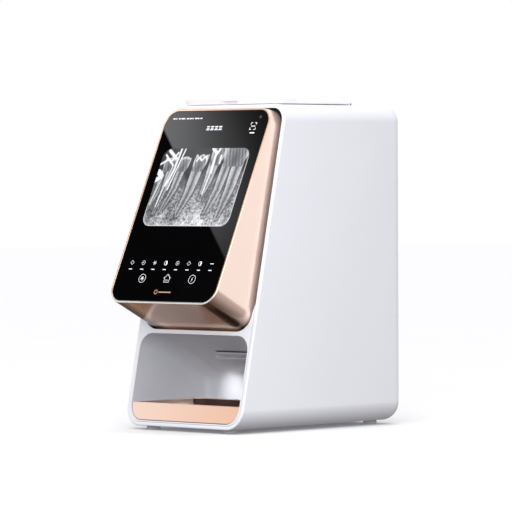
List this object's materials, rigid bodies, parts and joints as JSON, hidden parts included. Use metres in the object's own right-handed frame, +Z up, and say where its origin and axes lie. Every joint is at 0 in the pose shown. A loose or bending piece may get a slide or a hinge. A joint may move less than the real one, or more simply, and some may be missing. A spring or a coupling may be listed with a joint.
{
  "type": "dental imaging plate scanner",
  "caption": "Desktop dental imaging plate scanner: white case, tilted touch screen in a rose-gold housing, plate inlet lid on top, collecting tray in a front niche.",
  "frame": {"origin": "middle of the bounding box's bottom, on the table", "axes": "+Z up, -Y out of the front with the screen, +X to the right seen from the front"},
  "size_m": [0.14, 0.2336, 0.2858],
  "materials": {
    "case_white": "satin",
    "lid_white": "satin",
    "liner_grey": "satin",
    "rose_gold": "metallic gloss",
    "tray_gold": "metallic satin",
    "screen_glass": "polished",
    "black_plastic": "fine grain",
    "guide_trim": "satin",
    "soft_pad": "matte",
    "foot_rubber": "matte",
    "roller_rubber": "matte",
    "screw_steel": "bright",
    "sheet_steel": "satin",
    "bearing_steel": "polished",
    "machined_aluminium": "satin",
    "contact_brass": "polished",
    "board_green": "solder mask",
    "optics_glass": "polished",
    "mirror_coat": "polished",
    "flex_film": "satin",
    "pulley_plastic": "satin",
    "lamp_white": "satin"
  },
  "bodies": {
    "case": {"outer_shell": "case_white", "front_frame": "black_plastic", "niche_liner": "liner_grey", "exit_guide": "guide_trim", "display_housing": "rose_gold", "display_gasket": "black_plastic", "touch_glass": "screen_glass", "lcd_panel": "black_plastic", "display_board": "board_green", "display_bracket": "sheet_steel", "display_screws": "screw_steel", "display_ribbon": "flex_film", "lid_pin": "screw_steel", "lid_sensor": "black_plastic", "inlet_funnel": "black_plastic", "rear_cover": "case_white", "rear_screws": "screw_steel", "mains_inlet": "black_plastic", "inlet_pins": "contact_brass", "network_socket": "bearing_steel", "usb_socket": "bearing_steel", "switch_body": "black_plastic", "power_supply_board": "board_green", "base_plate": "liner_grey", "base_screws": "screw_steel", "rubber_feet": "foot_rubber", "chassis_left": "sheet_steel", "chassis_right": "sheet_steel", "cross_bars": "screw_steel", "plate_guides": "black_plastic", "roller_bearings": "bearing_steel", "feed_motor": "sheet_steel", "drive_belt": "roller_rubber", "optics_bench": "machined_aluminium", "laser_module": "contact_brass", "mirror_motor": "machined_aluminium", "scan_lens": "optics_glass", "fold_mirror": "mirror_coat", "light_guide": "optics_glass", "photomultiplier": "black_plastic", "erase_lamp": "lamp_white", "main_board": "board_green", "board_spacers": "contact_brass", "plate_sensors": "black_plastic"},
    "lid": {"inlet_lid": "lid_white", "lid_magnet": "bearing_steel"},
    "tray": {"collecting_tray": "tray_gold", "tray_pad": "soft_pad"},
    "flap": {"exit_flap": "black_plastic"},
    "rocker": {"power_rocker": "black_plastic"},
    "feed_upper": {"drive_roller_upper": "roller_rubber"},
    "feed_lower": {"drive_roller_lower": "roller_rubber"},
    "press_upper": {"idler_roller_upper": "roller_rubber"},
    "press_lower": {"idler_roller_lower": "roller_rubber"},
    "motor_shaft": {"motor_pulley": "pulley_plastic"},
    "polygon": {"scan_mirror": "mirror_coat"}
  },
  "joints": [
    {"name": "lid_hinge", "type": "hinge", "parent": "case", "child": "lid", "pos_m": [0, 0.06328, 0.2806], "axis": [-1, 0, 0], "range_deg": [0, 95]},
    {"name": "tray_slide", "type": "slide", "parent": "case", "child": "tray", "axis": [0, -1, 0], "range_m": [0, 0.07]},
    {"name": "flap_hinge", "type": "hinge", "parent": "case", "child": "flap", "pos_m": [0, -0.0224, 0.073], "axis": [1, 0, 0], "range_deg": [0, 50], "stiffness_Nm_per_rad": 0.0002, "springref_deg": -34.38},
    {"name": "rocker_tilt", "type": "hinge", "parent": "case", "child": "rocker", "pos_m": [0.008, 0.11036, 0.048], "axis": [1, 0, 0], "range_deg": [0, 16]},
    {"name": "feed_spin", "type": "hinge", "parent": "case", "child": "feed_upper", "pos_m": [0, -0.00984, 0.215], "axis": [1, 0, 0], "continuous": true},
    {"name": "feed_lower_spin", "type": "hinge", "parent": "case", "child": "feed_lower", "pos_m": [0, -0.00984, 0.125], "axis": [1, 0, 0], "continuous": true},
    {"name": "press_upper_spin", "type": "hinge", "parent": "case", "child": "press_upper", "pos_m": [0, -0.02464, 0.215], "axis": [1, 0, 0], "continuous": true},
    {"name": "press_lower_spin", "type": "hinge", "parent": "case", "child": "press_lower", "pos_m": [0, -0.02464, 0.125], "axis": [1, 0, 0], "continuous": true},
    {"name": "motor_spin", "type": "hinge", "parent": "case", "child": "motor_shaft", "pos_m": [0, 0.02116, 0.118], "axis": [1, 0, 0], "continuous": true},
    {"name": "mirror_spin", "type": "hinge", "parent": "case", "child": "polygon", "pos_m": [0.009, 0.04276, 0.1625], "axis": [0, 0, 1], "continuous": true}
  ],
  "couplings": [
    {"joint": "feed_lower_spin", "follows": "feed_spin", "ratio": 1},
    {"joint": "press_upper_spin", "follows": "feed_spin", "ratio": -1},
    {"joint": "press_lower_spin", "follows": "feed_spin", "ratio": -1},
    {"joint": "motor_spin", "follows": "feed_spin", "ratio": 1.6}
  ]
}
